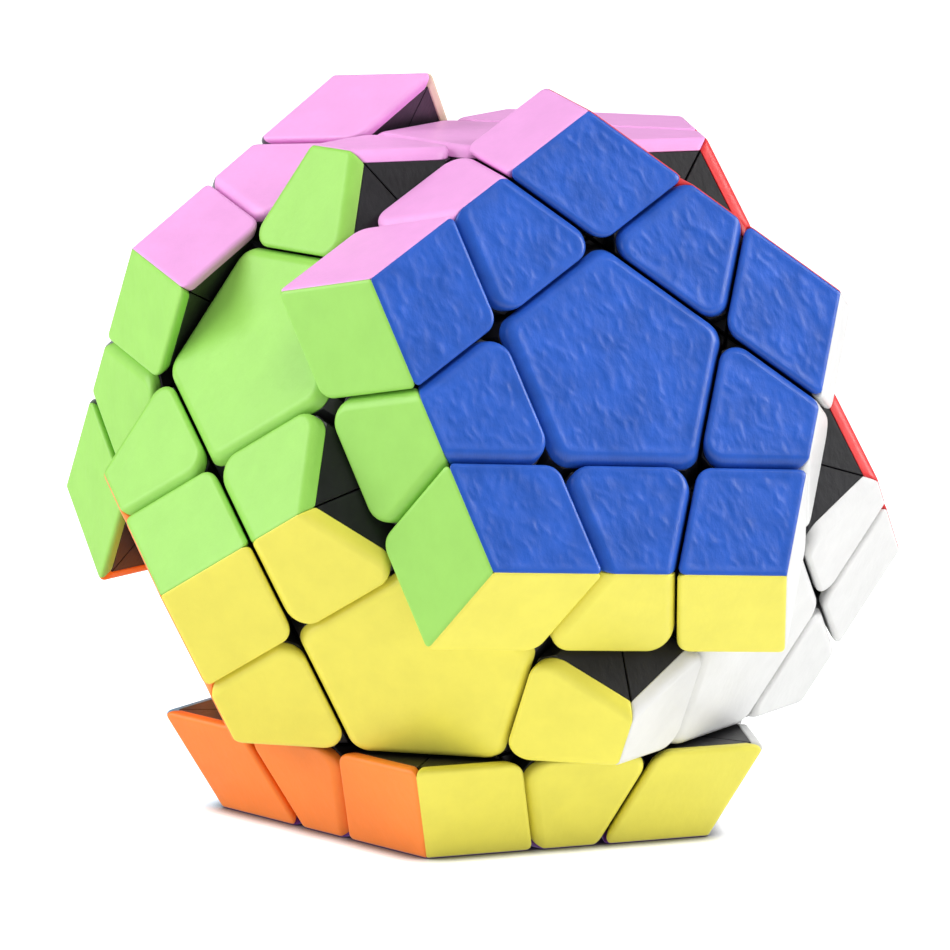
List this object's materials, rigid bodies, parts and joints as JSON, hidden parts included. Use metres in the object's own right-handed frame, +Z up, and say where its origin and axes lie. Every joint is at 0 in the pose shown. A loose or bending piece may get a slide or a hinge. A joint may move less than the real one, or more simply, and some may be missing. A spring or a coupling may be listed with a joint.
{
  "type": "dodecahedron twisty puzzle",
  "caption": "Twelve-colour stickerless dodecahedron twisty puzzle with turning face layers on a sprung core, three layers part-turned.",
  "frame": {"origin": "centre of the purple face, on the surface the puzzle stands on", "axes": "+Z up along the purple to pink face axis; -Y towards the blue face, whose axis leans up from -Y by 26.6 degrees"},
  "size_m": [0.0876, 0.0891, 0.0806],
  "materials": {
    "black_core": "satin",
    "black_plastic": "satin",
    "screw_steel": "zinc plated",
    "spring_steel": "bright wire",
    "washer_steel": "plain",
    "pink_plastic": "satin gloss with a fine moulded grain",
    "red_plastic": "satin gloss with a fine moulded grain",
    "cream_plastic": "satin gloss with a fine moulded grain",
    "lime_plastic": "satin gloss with a fine moulded grain",
    "light_blue_plastic": "satin gloss with a fine moulded grain",
    "orange_plastic": "satin gloss with a fine moulded grain",
    "yellow_plastic": "satin gloss with a fine moulded grain",
    "white_plastic": "satin gloss with a fine moulded grain",
    "green_plastic": "satin gloss with a fine moulded grain",
    "blue_plastic": "satin gloss with a fine moulded grain",
    "grey_plastic": "satin gloss with a fine moulded grain",
    "purple_plastic": "satin gloss with a fine moulded grain"
  },
  "bodies": {
    "core": {"core_spider": "black_core", "core_screws": "screw_steel", "tension_springs": "spring_steel", "spring_washers": "washer_steel", "fixed_centre_bases": "black_plastic", "fixed_edge_bodies": "black_plastic", "fixed_corner_bodies": "black_plastic", "pink_centre_cap": "pink_plastic", "red_centre_cap": "red_plastic", "cream_centre_cap": "cream_plastic", "lime_centre_cap": "lime_plastic", "light_blue_centre_cap": "light_blue_plastic", "orange_centre_cap": "orange_plastic", "yellow_centre_cap": "yellow_plastic", "white_centre_cap": "white_plastic", "green_centre_cap": "green_plastic", "pink_fixed_tiles": "pink_plastic", "red_fixed_tiles": "red_plastic", "cream_fixed_tiles": "cream_plastic", "lime_fixed_tiles": "lime_plastic", "light_blue_fixed_tiles": "light_blue_plastic", "orange_fixed_tiles": "orange_plastic", "yellow_fixed_tiles": "yellow_plastic", "white_fixed_tiles": "white_plastic", "green_fixed_tiles": "green_plastic"},
    "blue_layer": {"blue_layer_centre_base": "black_plastic", "blue_layer_edge_bodies": "black_plastic", "blue_layer_corner_bodies": "black_plastic", "blue_centre_cap": "blue_plastic", "blue_face_tiles": "blue_plastic", "blue_layer_pink_tiles": "pink_plastic", "blue_layer_red_tiles": "red_plastic", "blue_layer_white_tiles": "white_plastic", "blue_layer_yellow_tiles": "yellow_plastic", "blue_layer_lime_tiles": "lime_plastic"},
    "grey_layer": {"grey_layer_centre_base": "black_plastic", "grey_layer_edge_bodies": "black_plastic", "grey_layer_corner_bodies": "black_plastic", "grey_centre_cap": "grey_plastic", "grey_face_tiles": "grey_plastic", "grey_layer_pink_tiles": "pink_plastic", "grey_layer_cream_tiles": "cream_plastic", "grey_layer_light_blue_tiles": "light_blue_plastic", "grey_layer_orange_tiles": "orange_plastic", "grey_layer_lime_tiles": "lime_plastic"},
    "purple_layer": {"purple_layer_centre_base": "black_plastic", "purple_layer_edge_bodies": "black_plastic", "purple_layer_corner_bodies": "black_plastic", "purple_centre_cap": "purple_plastic", "purple_face_tiles": "purple_plastic", "purple_layer_light_blue_tiles": "light_blue_plastic", "purple_layer_orange_tiles": "orange_plastic", "purple_layer_yellow_tiles": "yellow_plastic", "purple_layer_white_tiles": "white_plastic", "purple_layer_green_tiles": "green_plastic"}
  },
  "joints": [
    {"name": "blue_turn", "type": "hinge", "parent": "core", "child": "blue_layer", "pos_m": [0, 0, 0.0373], "axis": [0, -0.8944, 0.4472], "continuous": true},
    {"name": "grey_turn", "type": "hinge", "parent": "core", "child": "grey_layer", "pos_m": [0, 0, 0.0373], "axis": [-0.5257, 0.7236, 0.4472], "continuous": true},
    {"name": "purple_turn", "type": "hinge", "parent": "core", "child": "purple_layer", "pos_m": [0, 0, 0.0373], "axis": [0, 0, -1], "continuous": true}
  ]
}
